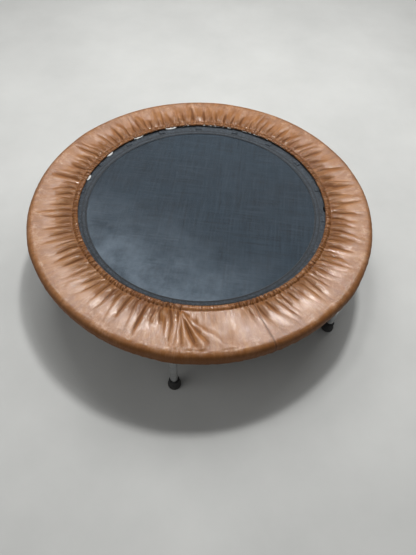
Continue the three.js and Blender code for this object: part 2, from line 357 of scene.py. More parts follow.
def vinyl_material():
    """Tan leather-grain vinyl, wrinkled and worn by the rim, with painted shade in its folds and down its
    wall, and painted highlights and shade in streaks along its folds.
    """
    s = Shader("skirt_vinyl", roughness=0.45)
    crease, rim, wall, seam = (s.attribute(name) for name in ("crease", "rim", "wall", "seam"))
    on_strip = s.node("CombineXYZ", {"X": s.attribute("along"), "Y": s.attribute("down")}).outputs[0]
    broad = s.noise(5.0, 4, 0.6)
    blotch = s.noise(24.0, 5, 0.65)
    streaks = s.noise(1.0, 4, 0.6, 0.8, place=s.stretched((75.0, 14.0, 1.0), place=on_strip))
    wrinkles = s.noise(1.0, 5, 0.7, 1.2, place=s.stretched((270.0, 55.0, 1.0), place=on_strip))
    crackle = s.noise(170.0, 5, 0.75, 1.8)
    cracks = s.times(s.middle_lines(crackle, 0.05), s.times(rim, s.fit(s.noise(11.0, 3), 0.45, 0.6)))
    # Pinches by the casing: thin lines where the gathers press together, bumped in and painted dark as shade.
    pinch = s.noise(1.0, 3, 0.55, 1.2, place=s.stretched((230.0, 17.0, 1.0), place=on_strip))
    pinch = s.times(s.middle_lines(pinch, 0.07), s.attribute("gathers"))
    s.color = s.mix(s.fit(broad, 0.3, 0.7), (0.208, 0.077, 0.016), (0.272, 0.112, 0.027))
    s.lay((0.200, 0.070, 0.015), s.fit(blotch, 0.42, 0.75), 0.5)
    # Painted highlights and shade: pale and dark streaks that run down the folds.
    s.lay((0.420, 0.205, 0.082), s.fit(streaks, 0.5, 0.75), 0.45)
    s.lay((0.168, 0.056, 0.012), s.fit(streaks, 0.52, 0.3), 0.6)
    s.lay((0.130, 0.040, 0.012), s.fit(wrinkles, 0.5, 0.32), 0.55)
    # Painted shade along the pinched lines.
    s.lay((0.105, 0.030, 0.006), pinch, 0.55)
    # Painted shade deep in the folds and in the casing's pleats.
    s.lay((0.100, 0.031, 0.004), crease, 0.9)
    wear = s.times(rim, s.fit(s.noise(38.0, 6, 0.75), 0.5, 0.68))
    s.lay((0.50, 0.30, 0.185), wear, 0.65)
    s.lay((0.110, 0.036, 0.012), cracks, 0.8)
    # Painted shade down the wall, which faces out and down, away from the overhead lights.
    s.lay((0.140, 0.048, 0.009), wall, s.fit(wrinkles, 0.35, 0.6, 0.95, 0.6))
    s.lay((0.060, 0.020, 0.008), seam, 0.75)
    specks = s.fit(s.cells(95.0), 0.0, 0.055, 1.0, 0.0)
    speckled = s.times(specks, s.fit(s.noise(7.0, 2), 0.56, 0.66))
    s.lay((0.10, 0.04, 0.02), speckled, 0.7)
    dull = s.math("MAXIMUM", s.fit(crease, 0.0, 0.4), wall)
    rough = s.math("ADD", s.fit(blotch, 0.3, 0.8, 0.33, 0.50), s.times(dull, 0.2))
    normal = s.bump(s.cells(620.0), 0.00015, 0.6)
    normal = s.bump(wrinkles, 0.0008, 0.7, normal)
    normal = s.bump(s.times(pinch, -1.0), 0.0012, 0.8, normal)
    normal = s.bump(s.times(crackle, s.math("ADD", rim, 0.35)), 0.0011, 0.7, normal)
    return s.finish(Roughness=rough, Normal=normal, Specular_IOR_Level=0.22,
                    Coat_Weight=s.fit(dull, 0.0, 1.0, 0.90, 0.02), Coat_Roughness=0.12, Coat_Normal=normal)


def mat_material():
    """Woven polypropylene: a tight basket weave, paler in patches towards the camera's near left, partly dust
    and partly a painted sheen.
    """
    s = Shader("mat_weave", roughness=0.6)
    x, y = s.node("SeparateXYZ", {"Vector": s.place}).outputs[:2]
    weave = s.math("ABSOLUTE", s.times(s.wave(x, 0.0022), s.wave(y, 0.0022)))
    streak_x = s.noise(1.0, 4, 0.65, place=s.stretched((190.0, 9.0, 1.0)))
    streak_y = s.noise(1.0, 4, 0.65, place=s.stretched((9.0, 190.0, 1.0)))
    cloud = s.noise(3.2, 5, 0.6, 0.6)
    s.color = s.mix(s.fit(cloud, 0.35, 0.68), (0.0030, 0.0150, 0.0280), (0.0080, 0.0250, 0.0420))
    for streak in (streak_x, streak_y):
        s.lay((0.036, 0.056, 0.078), s.fit(streak, 0.5, 0.68), 0.40)
        s.lay((0.001, 0.003, 0.006), s.fit(streak, 0.48, 0.30), 0.55)
    s.lay((0.003, 0.005, 0.008), s.fit(weave, 0.0, 0.5, 1.0, 0.0), 0.5)
    # Dust and painted sheen: pale patches, painted strongest towards the near left where the lights'
    # reflection falls.
    dust_and_sheen_mask = s.times(s.fit(s.noise(9.0, 6, 0.7), 0.25, 0.70), s.attribute("dust_and_sheen"))
    s.lay((0.158, 0.200, 0.244), dust_and_sheen_mask, 0.85)
    rough = s.fit(cloud, 0.3, 0.7, 0.48, 0.66)
    normal = s.bump(weave, 0.0005, 0.8)
    normal = s.bump(s.math("ADD", streak_x, streak_y), 0.0010, 0.7, normal)
    return s.finish(Roughness=rough, Normal=normal, Sheen_Weight=0.09, Sheen_Roughness=0.5,
                    Specular_IOR_Level=0.35)


def webbing_material():
    """Polypropylene webbing: ribs that run round the mat, and painted shade along its rows of stitches, as if
    they lay in grooves.
    """
    s = Shader("webbing", roughness=0.7)
    across = s.attribute("across")
    ribs = s.times(s.wave(across, 0.0030), s.wave(s.attribute("along"), 0.0026))
    mottle = s.noise(150.0, 5, 0.75)
    s.color = s.mix(s.fit(s.noise(40.0, 5, 0.7), 0.35, 0.7), (0.005, 0.010, 0.016), (0.020, 0.032, 0.046))
    s.lay((0.050, 0.068, 0.090), s.fit(ribs, 0.3, 1.0), 0.5)
    s.lay((0.120, 0.145, 0.172), s.fit(mottle, 0.5, 0.72), 0.5)
    s.lay((0.003, 0.005, 0.008), s.fit(mottle, 0.5, 0.32), 0.6)
    # Painted shade: a dark line along each row of stitches, as if it lay in a groove.
    for radius in STITCH_ROWS:
        off = s.math("ABSOLUTE", s.math("SUBTRACT", across, radius))
        s.lay((0.0015, 0.0025, 0.004), s.fit(off, 0.0010, 0.0024, 1.0, 0.0), 0.9)
    normal = s.bump(ribs, 0.0005, 0.9)
    normal = s.bump(mottle, 0.0010, 0.7, normal)
    return s.finish(Normal=normal, Sheen_Weight=0.15)


def thread_material(name, dark, pale):
    """Twisted sewing thread."""
    s = Shader(name, roughness=0.6)
    twist = s.noise(900.0, 2, 0.5, 1.0)
    s.color = s.mix(s.fit(twist, 0.35, 0.65), dark, pale)
    return s.finish(Normal=s.bump(twist, 0.0003, 0.7))


def steel_material(name, color, worn, roughness, streaks=400.0):
    """Plated steel with fine scratches and dull spots."""
    s = Shader(name, metallic=1.0)
    scratch = s.noise(1.0, 4, 0.7, place=s.stretched((streaks, streaks, streaks / 12)))
    spots = s.noise(55.0, 6, 0.7)
    s.color = s.mix(s.fit(spots, 0.5, 0.75), color, worn)
    rough = s.math("ADD", s.fit(scratch, 0.3, 0.8, roughness * 0.7, roughness * 1.5),
                   s.fit(spots, 0.55, 0.8, 0.0, 0.25))
    return s.finish(Roughness=rough, Normal=s.bump(scratch, 0.00006, 0.5))


def rubber_material():
    """Black moulded rubber, scuffed grey round its foot."""
    s = Shader("tip_rubber", roughness=0.7)
    height = s.node("SeparateXYZ", {"Vector": s.place}).outputs[2]
    scuffed = s.fit(s.noise(160.0, 5, 0.75), 0.48, 0.7)
    s.color = s.mix(s.noise(90.0, 3), (0.010, 0.010, 0.010), (0.026, 0.025, 0.024))
    s.lay((0.16, 0.155, 0.145), s.times(s.fit(height, 0.002, 0.014, 1.0, 0.1), scuffed), 0.7)
    normal = s.bump(s.noise(700.0, 3, 0.6), 0.0003, 0.6)
    rough = s.fit(s.noise(60.0, 4), 0.3, 0.7, 0.5, 0.8)
    return s.finish(Roughness=rough, Normal=normal)


def elastic_material():
    """Knitted elastic: cream, ribbed along its length."""
    s = Shader("elastic", roughness=0.9)
    rib = s.wave(s.attribute("across"), 0.0009)
    s.color = s.mix(s.fit(s.noise(90.0, 4), 0.35, 0.7), (0.44, 0.41, 0.34), (0.66, 0.63, 0.55))
    s.lay((0.30, 0.27, 0.22), s.fit(rib, 0.2, 1.0), 0.4)
    return s.finish(Normal=s.bump(rib, 0.0003, 0.7), Sheen_Weight=0.2)


def floor_material():
    """Plain pale ground, very slightly mottled."""
    s = Shader("floor", roughness=0.75)
    mottle = s.noise(2.2, 6, 0.6)
    s.color = s.mix(s.fit(mottle, 0.35, 0.7), (0.435, 0.438, 0.424), (0.495, 0.498, 0.482))
    return s.finish()


VINYL = vinyl_material()
WEAVE = mat_material()
WEBBING = webbing_material()
SKIRT_THREAD = thread_material("skirt_thread", (0.16, 0.065, 0.028), (0.36, 0.17, 0.08))
MAT_THREAD = thread_material("mat_thread", (0.012, 0.014, 0.018), (0.06, 0.068, 0.08))
GALVANISED = steel_material("frame_steel", (0.50, 0.51, 0.52), (0.30, 0.30, 0.30), 0.34)
CHROME = steel_material("leg_chrome", (0.74, 0.75, 0.76), (0.42, 0.42, 0.41), 0.13, 700.0)
ZINC = steel_material("zinc", (0.62, 0.62, 0.60), (0.40, 0.38, 0.33), 0.28)
SPRING_STEEL = steel_material("spring_steel", (0.58, 0.59, 0.60), (0.36, 0.35, 0.33), 0.25)
RUBBER = rubber_material()
ELASTIC = elastic_material()


def dress(piece, material, slot, *nodes):
    """Gives a piece its material, and hides the CAD nodes that it stands for. The slot argument is not used.
    """
    piece.data.materials.append(material)
    if nodes:
        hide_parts(*nodes)
    return piece


# ---------------------------------------------------------------- the skirt

AROUND = 1800  # columns round the skirt
SKIRT_ANGLES = degrees_round(AROUND)
VINYL_THICK = 0.0009
CASING_MIDDLE = (0.0080, MAT_TOP + 0.0086)
CASING_HALF = (0.0076, 0.0041)
CASING_TURN = 350  # degrees that the sheet runs round the elastic, from under it to the seam
CASING_CORE = 0.64  # the elastic inside keeps the casing open to this share of its half sizes
SHOULDER_START = 96  # degrees round the tube where the sheet meets it
HEM_BOTTOM = SKIRT_LOW.z
HEM_START = HOOP_Z - 0.86 * (HOOP_Z - HEM_BOTTOM)  # height at which the wall turns in as the hem
HEM_LEAN = 0.0030  # the wall leans in by this much on its way down
HEM_HALF = 0.0016  # half the width of the turned-in hem
HEM_RIPPLES = 1.6  # how much more it ripples than the shoulder
STRIP_R = RIM_R + 0.001  # radius of the ring that the ungathered strip would make as it settles
SAG = 0.0034  # how far the sheet can lie below its straight slope before it rests on the springs
SEAM_ANGLE = toward_view(21.5)
OPENING_SHIFT = (0.0105, toward_view(163.0))  # the opening has crept away from the camera
# From the knot to the slack's end the casing has pulled straight. Both are counted from the camera's side.
KNOT_ANGLE = toward_view(-8.0)
KNOT, SLACK_END = from_view(KNOT_ANGLE), from_view(toward_view(13.0))
FAN_START = 0.6  # the fan of folds starts this many degrees past the knot
# The folds that fan out from the knot: degrees that each one turns on its way to the rim, height, widening.
KNOT_FOLDS = ((1.2, 0.0055, 0.5), (4.6, 0.0070, 1.2), (9.6, 0.0075, 1.5), (16.0, 0.0030, 2.6))
# The sharp creases between them: degrees turned, and depth.
KNOT_CREASES = ((2.4, 0.0042), (7.6, 0.0052), (13.0, 0.0016))


def opening_radius(angle):
    distance, direction = OPENING_SHIFT
    return OPENING_R + distance * np.cos(np.radians(angle - direction))


def rim_bulge(angle):
    """The skirt is pulled over the legs' bosses, and runs a little straighter between them."""
    leg = np.max([near(angle, 30 + 60 * k, 5.0) for k in range(LEGS)], axis=0)
    return 0.0024 * leg - 0.0010 + 0.0007 * wavy(angle, 3, 5, 16)


def rim_ripple(angle):
    return 0.0003 * wavy(angle, 31, 60, 160)


def slack_casing(angle):
    """1 where the casing has pulled straight."""
    seen = from_view(angle)
    return smooth(seen, KNOT + 0.5, KNOT + 3) * (1 - smooth(seen, SLACK_END - 3, SLACK_END + 3))


def slack_sheet(angle):
    """1 where the sheet hangs from the straight stretch of the casing, and so has next to no gathers."""
    seen = from_view(angle)
    return smooth(seen, KNOT - 2, KNOT + 1) * (1 - smooth(seen, SLACK_END, SLACK_END + 14))


def skirt_rows():
    """The skirt's section from the casing's underside to the hem, as (part, place along it from 0 to 1)."""
    parts = (("casing", 16), ("sheet", 36), ("shoulder", 13), ("wall", 9), ("hem", 6))
    return [("casing", 0.0)] + [(part, (k + 1) / count) for part, count in parts for k in range(count)]


def skirt_point(part, t, angle):
    """Radius for every angle, and height, of the ungathered skirt at one place of its section."""
    inner = opening_radius(angle)
    start = math.radians(SHOULDER_START)
    tangent_r, tangent_z = HOOP_R + COVER_R * math.cos(start), HOOP_Z + COVER_R * math.sin(start)
    seam_r = inner + CASING_MIDDLE[0] + CASING_HALF[0]
    if part == "casing":
        turn = math.radians(-CASING_TURN * t)
        return (inner + CASING_MIDDLE[0] + CASING_HALF[0] * math.cos(turn),
                CASING_MIDDLE[1] + CASING_HALF[1] * math.sin(turn))
    if part == "sheet":
        seam_z = CASING_MIDDLE[1] + CASING_HALF[1] * math.sin(math.radians(360 - CASING_TURN))
        return seam_r + (tangent_r - seam_r) * t, seam_z + (tangent_z - seam_z) * t ** 1.1
    bulge = rim_bulge(angle)
    if part == "shoulder":
        turn = start * (1 - t)
        corner = 0.045 * COVER_R * max(0.0, math.sin(2 * turn))  # the vinyl stands off the tube a little here
        return (HOOP_R + COVER_R * math.cos(turn) + corner + bulge * math.sin(math.pi / 2 * t),
                HOOP_Z + COVER_R * math.sin(turn) + corner)
    wall_r = RIM_R + bulge
    if part == "wall":
        return wall_r - HEM_LEAN * t ** 2, HOOP_Z + (HEM_START - HOOP_Z) * t
    turn = math.radians(180 * t)  # the hem turns up inside round its elastic
    return (wall_r - HEM_LEAN - HEM_HALF * (1 - math.cos(turn)),
            HEM_START - 0.0030 * math.sin(turn) + 0.004 * max(0.0, t - 0.5))


def strip_place(angle):
    """How far the strip has been pushed round along the casing, in degrees, from where it is at the rim."""
    seen = from_view(angle)
    slack = 0.20 * np.clip(seen - KNOT, 0, SLACK_END - KNOT)
    bunch = slack.max() * smooth(seen, KNOT - 12, KNOT) - slack
    drift = 0.5 * wavy(angle, 71, 2, 5) + 0.30 * wavy(angle, 72, 9, 22)
    return bunch + drift * (1 - near(seen, (KNOT + SLACK_END) / 2, 14))


SETTLE_ROUNDS = 80
SHEAR = 0.10
BENDING = ((1, 0.09), (3, 0.018))  # the vinyl's resistance to bending, as (columns apart, strength)
STRAIGHTEN = 0.08  # its resistance to bending down the section


def pull(a, b, rest, free_a, free_b, strength):
    """Moves two sets of points towards their rest distance, in place."""
    gap = b - a
    length = np.maximum(np.linalg.norm(gap, axis=-1), 1e-9)
    gap *= (strength * (length - rest) / length / np.maximum(free_a + free_b, 1e-9))[..., None]
    a += gap * free_a[..., None]
    b -= gap * free_b[..., None]


def settle(points, place, across, ease, free, keep_out):
    """Cloth simulation of a ring of sheet, by position-based dynamics.

    points is rows x columns x 3 and is changed. place is each point's distance along the straight strip, and
    across is the strip's width between two rows. ease is the share of the extra length that makes no fold.
    free is 0 where a point is held and 1 where it can move. keep_out moves the points off what they rest on.
    """
    def onwards(values):
        moved = np.roll(values, -1, 1)
        moved[:, -1] += 2 * math.pi * STRIP_R
        return moved

    along = onwards(place) - place
    even = np.linalg.norm(np.roll(points, -1, 1) - points, axis=-1)
    along += ease * (even - along)
    slants = ((1, np.hypot(across, onwards(place)[1:] - place[:-1])),
              (-1, np.hypot(across, place[1:] - onwards(place)[:-1])))
    smooth_form = points.copy()
    before = points.copy()
    for _ in range(SETTLE_ROUNDS):
        speed = 0.9 * (points - before)
        before[:] = points
        points += speed * free[..., None]
        for _ in range(2):
            for first in (0, 1):
                spun, loose, rest = (np.roll(k, -first, 1) for k in (points, free, along))
                pull(spun[:, 0::2], spun[:, 1::2], rest[:, 0::2], loose[:, 0::2], loose[:, 1::2], 1.0)
                points[:] = np.roll(spun, first, 1)
            for first in (0, 1):
                last = first + 2 * ((len(points) - first) // 2)
                upper, lower = slice(first, last, 2), slice(first + 1, last, 2)
                pull(points[upper], points[lower], across[upper], free[upper], free[lower], 1.0)
                for side, rest in slants:
                    here, there = (upper, lower) if side > 0 else (lower, upper)
                    spun = np.roll(points[there], -1, 1)
                    pull(points[here], spun, rest[upper], free[here], np.roll(free[there], -1, 1), SHEAR)
                    points[there] = np.roll(spun, 1, 1)
        shift = points - smooth_form
        for reach, strength in BENDING:
            hollow = (np.roll(shift, reach, 1) + np.roll(shift, -reach, 1)) / 2 - shift
            stiff = hollow - (np.roll(hollow, reach, 1) + np.roll(hollow, -reach, 1)) / 2
            points += (strength * free)[..., None] * stiff
        hollow = (shift[2:] + shift[:-2]) / 2 - shift[1:-1]
        points[1:-1] += (STRAIGHTEN * free[1:-1])[..., None] * hollow
        keep_out(points)


def pleats(angle, seed, spacing):
    """Depth, 0 to 1, of tight irregular pleats."""
    rng = np.random.default_rng(seed)
    places, place = [], 0.0
    while place < 359.2:
        places.append(place)
        place += rng.uniform(0.5, 1.6) * spacing
    places = np.array(places)
    depth = rng.uniform(0.4, 1.0, len(places))
    width = rng.uniform(0.20, 0.32, len(places)) * spacing
    off = turn_between(angle[:, None], places[None, :])
    return np.max(depth * np.exp(-np.abs(off / width) ** 1.6), axis=1)


def first_folds(angle, t):
    """A small start for the gathers at one row of the sheet: fine by the casing, broad by the rim."""
    seen = from_view(angle)
    angle = angle - t * (2.0 * wavy(angle, 85, 3, 12) + 3.0 * near(seen, 35, 25) - 3.0 * near(seen, 135, 30))
    tight = near(seen, 125, 50) + 0.5 * near(seen, 40, 30)
    fine = wavy(angle, 82, 130, 230) * (0.7 + 0.5 * tight)
    middle = wavy(angle, 81, 80, 150) * (0.25 + 1.0 * np.abs(wavy(angle, 86, 8, 34)))
    broad = wavy(angle, 83, 40, 80)
    fan = sum(size * np.exp(-(((seen - KNOT - FAN_START - spread * t) / (0.6 + wide * t)) ** 2))
              for spread, size, wide in KNOT_FOLDS)
    waves = (0.0010 * fine * float(np.exp(-t / 0.14)) + 0.0014 * middle * min(1, t / 0.1) * (1 - 0.7 * t)
             + 0.0007 * broad * min(1, t / 0.3))
    return fan * min(1, t / 0.12) * (1 - 0.6 * t) + waves * (1 - 0.75 * slack_sheet(angle))


def plumped(level):
    """A row's heights with round crests and sharp creases: the top of the arches that stand on its points."""
    pitch = math.radians(360 / AROUND) * (OPENING_R + HOOP_R) / 2
    curve = 24.0  # an arch's drop over a metre to its side squared
    arches = [np.roll(level, k) - curve * (k * pitch) ** 2 for k in range(-7, 8)]
    return np.max(arches, axis=0)


def gathered(rows, radius, height):
    """The skirt's points once the strip has been gathered and settled, from the ungathered section."""
    angle = SKIRT_ANGLES
    turn = np.radians(angle)
    points = round_row(radius, turn, height)
    seam = [part for part, t in rows].index("sheet") - 1
    count = [k for k, (part, t) in enumerate(rows) if part == "shoulder" and t < 0.35][-1] + 1
    steps = np.hypot(np.diff(radius, axis=0), np.diff(height, axis=0))
    pushed = np.array([{"casing": 1.0, "sheet": 1 - t}.get(part, 0.0) for part, t in rows])
    slack = slack_casing(angle)
    loose_sheet = slack_sheet(angle)
    swell = 0.0014 * wavy(angle, 91, 90, 200) + 0.0014 - 0.0046 * pleats(angle, 12, 1.9)
    place = np.radians(angle + pushed[:, None] * strip_place(angle)) * STRIP_R
    free = np.ones((len(rows), AROUND))
    for k, (part, t) in enumerate(rows):
        if part == "sheet":
            free[k] = min(1.0, max(0.0, (1 - t) / 0.12))
            points[k, :, 2] += first_folds(angle, t)
        elif part == "casing":
            out = swell * math.sin(math.pi * t) * (1 - 0.8 * slack)
            spread = math.radians(-CASING_TURN * t)
            points[k] += out[:, None] * round_row(math.cos(spread), turn, math.sin(spread))
        else:
            free[k] = 0
    free[0] = free[seam] = 0
    points[[0, seam], :, 2] -= 0.0034 * pleats(angle, 11, 1.6) * (1 - 0.9 * slack)
    middle_r = opening_radius(angle) + CASING_MIDDLE[0]
    lowest = height[:count] - SAG

    def keep_out(now):
        """Keeps the casing round its elastic, and the sheet above the springs and the tube."""
        casing, sheet = now[:seam + 1], now[seam + 1:]
        out = np.hypot(casing[..., 0], casing[..., 1])
        side = (out - middle_r) / CASING_HALF[0]
        rise = (casing[..., 2] - CASING_MIDDLE[1]) / CASING_HALF[1]
        grow = np.maximum(CASING_CORE / np.maximum(np.hypot(side, rise), 0.05), 1.0)
        new_r = middle_r + side * grow * CASING_HALF[0]
        casing[..., :2] *= (new_r / out)[..., None]
        casing[..., 2] = CASING_MIDDLE[1] + rise * grow * CASING_HALF[1]
        sheet[..., 2] = np.maximum(sheet[..., 2], lowest[seam + 1:])

    patches = 0.24 * wavy(angle, 74, 7, 34) + 0.8 * loose_sheet
    stray = 0.30 * wavy(angle, 75, 35, 75)

    def ease(part, t):
        if part == "sheet":
            return np.clip(0.18 + 0.78 * smooth(t, 0.05, 0.62) + patches + stray * min(1, 2 * t), 0, 0.97)
        return np.full(AROUND, 0.0 if part == "casing" else 1.0)

    eased = np.array([ease(part, t) for part, t in rows[:count]])
    settle(points[:count], place[:count], steps[:count - 1], eased, free[:count], keep_out)
    reach = np.clip(0.45 + 0.24 * wavy(angle, 76, 18, 60), 0.08, 0.78) + 0.4 * loose_sheet
    pillows = 0.0012 * wavy(angle, 87, 16, 48)
    for k, (part, t) in enumerate(rows[:count]):
        if part == "sheet":
            level = points[k, :, 2]
            level += min(1.0, t / 0.05) * (1 - 0.8 * loose_sheet) * (plumped(level) - level)
            level += 0.15 * min(1.0, t / 0.1) * np.maximum(level - height[k], -0.002)
            level += smooth((t - reach) / 0.42) * (height[k] - level)  # the folds run out before the rim
            level += pillows * math.sin(math.pi * t) ** 2
            for spread, depth in KNOT_CREASES:
                off = (turn_between(angle, KNOT_ANGLE) - FAN_START - spread * t) / (0.50 + 0.50 * t)
                carve = depth * min(1.0, t / 0.06) * (1 - float(smooth(t, 0.5, 1.0))) * np.exp(-np.abs(off))
                level -= np.minimum(carve, np.maximum(level - lowest[k], 0))
    return points


def build_skirt():
    rows = skirt_rows()
    radius, height = (np.array(k) for k in zip(*(
        np.broadcast_arrays(*skirt_point(part, t, SKIRT_ANGLES)) for part, t in rows)))
    for k, (part, t) in enumerate(rows):
        if part in ("shoulder", "wall", "hem"):
            radius[k] += rim_ripple(SKIRT_ANGLES) * {"shoulder": t, "wall": 1.2, "hem": HEM_RIPPLES}[part]
    points = gathered(rows, radius, height)
    seam = near(SKIRT_ANGLES, SEAM_ANGLE, 0.35)
    outside = np.array([part != "casing" for part, t in rows])
    points[outside, :, 2] -= VINYL_THICK * seam
    piece = new_piece("skirt_cover", points.reshape(-1, 3), grid_faces(len(rows), AROUND))
    # How deep each place lies in a fold, against the places either side of it. The vinyl is painted darker
    # there as shade.
    level = points[..., 2]
    broad, tight = (sum(np.roll(level, k, 1) + np.roll(level, -k, 1) for k in reach) / 6 - level
                    for reach in ((3, 5, 8), (2, 3, 4)))
    deep = {"sheet": np.clip((broad - 0.0005) / 0.0016, 0, 1) ** 1.2, "casing": np.clip(tight / 0.0005, 0, 1)}
    none = np.zeros(AROUND)
    gathers_sheet, gathers_casing = 1 - 0.9 * slack_sheet(SKIRT_ANGLES), 1 - 0.8 * slack_casing(SKIRT_ANGLES)
    crease, gathers, rim, wall = [], [], [], []
    for k, (part, t) in enumerate(rows):
        crease.append(deep[part][k] if part in deep else none)
        gathers.append({"sheet": gathers_sheet * float(1 - smooth(t, 0.05, 0.6)),
                        "casing": gathers_casing}.get(part, none))
        rim.append({"casing": 0, "sheet": float(smooth(t, 0.55, 1.0)),
                    "shoulder": 1 - 0.5 * t}.get(part, 0.25))
        wall.append({"casing": 0, "sheet": 0, "shoulder": float(smooth(t, 0.10, 0.65))}.get(part, 1))
    store(piece, "crease", crease)
    store(piece, "gathers", gathers)
    store(piece, "rim", np.repeat(rim, AROUND))
    store(piece, "wall", np.repeat(wall, AROUND))
    store(piece, "seam", outside[:, None] * near(SKIRT_ANGLES, SEAM_ANGLE, 0.22)[None, :])
    # Distances along the sewn strip, from its seam, and down it from the casing.
    store(piece, "along", np.tile(np.radians((SKIRT_ANGLES - SEAM_ANGLE) % 360) * STRIP_R, len(rows)))
    steps = np.hypot(np.diff(radius, axis=0), np.diff(height, axis=0)).mean(1)
    store(piece, "down", np.repeat(np.concatenate([[0], np.cumsum(steps)]), AROUND))
    thick = piece.modifiers.new("thickness", "SOLIDIFY")
    thick.thickness = VINYL_THICK
    thick.offset = -1
    dress(piece, VINYL, "skirt_vinyl", "skirt")
    return piece, points, rows


skirt, skirt_points, SKIRT_ROWS = build_skirt()


def row_at(part, t):
    """The row of the skirt nearest to a place of its section."""
    return min((abs(u - t), k) for k, (p, u) in enumerate(SKIRT_ROWS) if p == part)[1]


def stitch(start, end, up, thickness):
    """One stitch: a short bowed thread whose ends dip into the cloth."""
    start, end, up = np.asarray(start), np.asarray(end), np.asarray(up)
    path, radii = [], []
    for t in np.linspace(0, 1, 5):
        bow = math.sin(math.pi * t)
        path.append(start + (end - start) * t + up * thickness * (1.1 * bow - 0.55))
        radii.append(thickness * (0.55 + 0.45 * bow))
    return swept(path, np.array(radii), 5)


def stitches_round(points, pitch, cover, thickness):
    """A line of stitches along a closed row of points, pitch points apart and cover points long."""
    return merged([stitch(points[k], points[(k + cover) % len(points)], (0, 0, 1), thickness)
                   for k in range(0, len(points), pitch)])


def build_casing_stitches():
    row = skirt_points[row_at("sheet", 0.02)]
    piece = new_piece("casing_stitches", *stitches_round(row, pitch=5, cover=3, thickness=0.00055))
    return dress(piece, SKIRT_THREAD, "skirt_vinyl")


def build_seam_stitches():
    """Two lines of stitches from the casing to the hem, where the strip's two ends are sewn together."""
    first = row_at("sheet", 0.0)
    column = int(round((SEAM_ANGLE % 360) / 360 * AROUND))
    length, pitch = 0.003, 0.0045
    turn = math.radians(SEAM_ANGLE)
    sideways = (-math.sin(turn), math.cos(turn), 0)
    parts = []
    for side in (-2, 2):
        line = skirt_points[first:, (column + side) % AROUND]
        down = np.concatenate([[0], np.cumsum(np.linalg.norm(np.diff(line, axis=0), axis=1))])
        at = 0.004
        while at + length < down[-1] - 0.006:
            start, end = (np.array([np.interp(s, down, line[:, axis]) for axis in range(3)])
                          for s in (at, at + length))
            out = np.cross(end - start, sideways)
            parts.append(stitch(start, end, out / np.linalg.norm(out), 0.0005))
            at += pitch
    piece = new_piece("skirt_seam_stitches", *merged(parts))
    return dress(piece, SKIRT_THREAD, "skirt_vinyl")


casing_stitches = build_casing_stitches()
seam_stitches = build_seam_stitches()

BAND_ANGLES = degrees_round(720)


def elastic_band(name, radius, height, width, thick, node):
    """A flat elastic, slightly wavy because the casing bunches on it. radius has one value a BAND_ANGLE."""
    turn = np.radians(BAND_ANGLES)
    ripple = 0.00025 * wavy(BAND_ANGLES, 41, 30, 80)
    w, h = width / 2, thick / 2
    section = rounded([(-w, -h), (w, -h), (w, h), (-w, h)], 0.0006, closed=True)
    points = np.concatenate([round_row(radius + a, turn, height + b + ripple) for a, b in section])
    piece = new_piece(name, points, outer_faces(len(section), len(turn), True))
    store(piece, "across", np.repeat([a for a, b in section], len(turn)))
    return dress(piece, ELASTIC, "elastic", node)


# ---------------------------------------------------------------- the mat

MAT_COLUMNS = 720
MAT_ANGLES = degrees_round(MAT_COLUMNS)
MAT_TURNS = np.radians(MAT_ANGLES)
MAT_THICK = 0.0016
# Where the edge has drawn in and a gap shows: direction from the camera's side, and how far.
GAPS = ((89, 0.0195), (197, 0.0080), (215, 0.0095), (234, 0.0150), (253, 0.0205))
GAP_REACH = 2.7  # degrees either side


def mat_edge(angle):
    return MAT_EDGE_R - sum(depth * np.exp(-((turn_between(angle, toward_view(gap)) / GAP_REACH) ** 4))
                            for gap, depth in GAPS)


def build_mat():
    edge = mat_edge(MAT_ANGLES)
    shares = np.concatenate([np.linspace(0.02, 0.96, 48), np.linspace(0.97, 1.0, 4)])
    wave = 0.0006 * wavy(MAT_ANGLES, 51, 3, 12)
    top = [round_row(edge * share, MAT_TURNS, MAT_TOP + wave * share) for share in shares]
    rings = np.array(top + [row - (0, 0, MAT_THICK) for row in top[::-1]])
    count = len(rings) * MAT_COLUMNS
    faces = grid_faces(len(rings), MAT_COLUMNS)
    points = rings.reshape(-1, 3).tolist() + [[0, 0, MAT_TOP], [0, 0, MAT_TOP - MAT_THICK]]
    last = count - MAT_COLUMNS
    for i in range(MAT_COLUMNS):
        j = (i + 1) % MAT_COLUMNS
        faces.append([count, i, j])
        faces.append([count + 1, last + j, last + i])
    piece = new_piece("mat_fabric", points, faces)
    places = np.array(points)
    # Painted sheen with the dust: the mat is painted paler towards the camera's near left, where the lights'
    # reflection falls.
    lit = np.radians(toward_view(-32))
    toward = (places[:, 0] * math.cos(lit) + places[:, 1] * math.sin(lit)) / MAT_EDGE_R
    store(piece, "dust_and_sheen", np.clip(0.04 + 1.4 * np.clip(toward, 0, 1) ** 1.8, 0, 1))
    return dress(piece, WEAVE, "mat_weave", "mat")


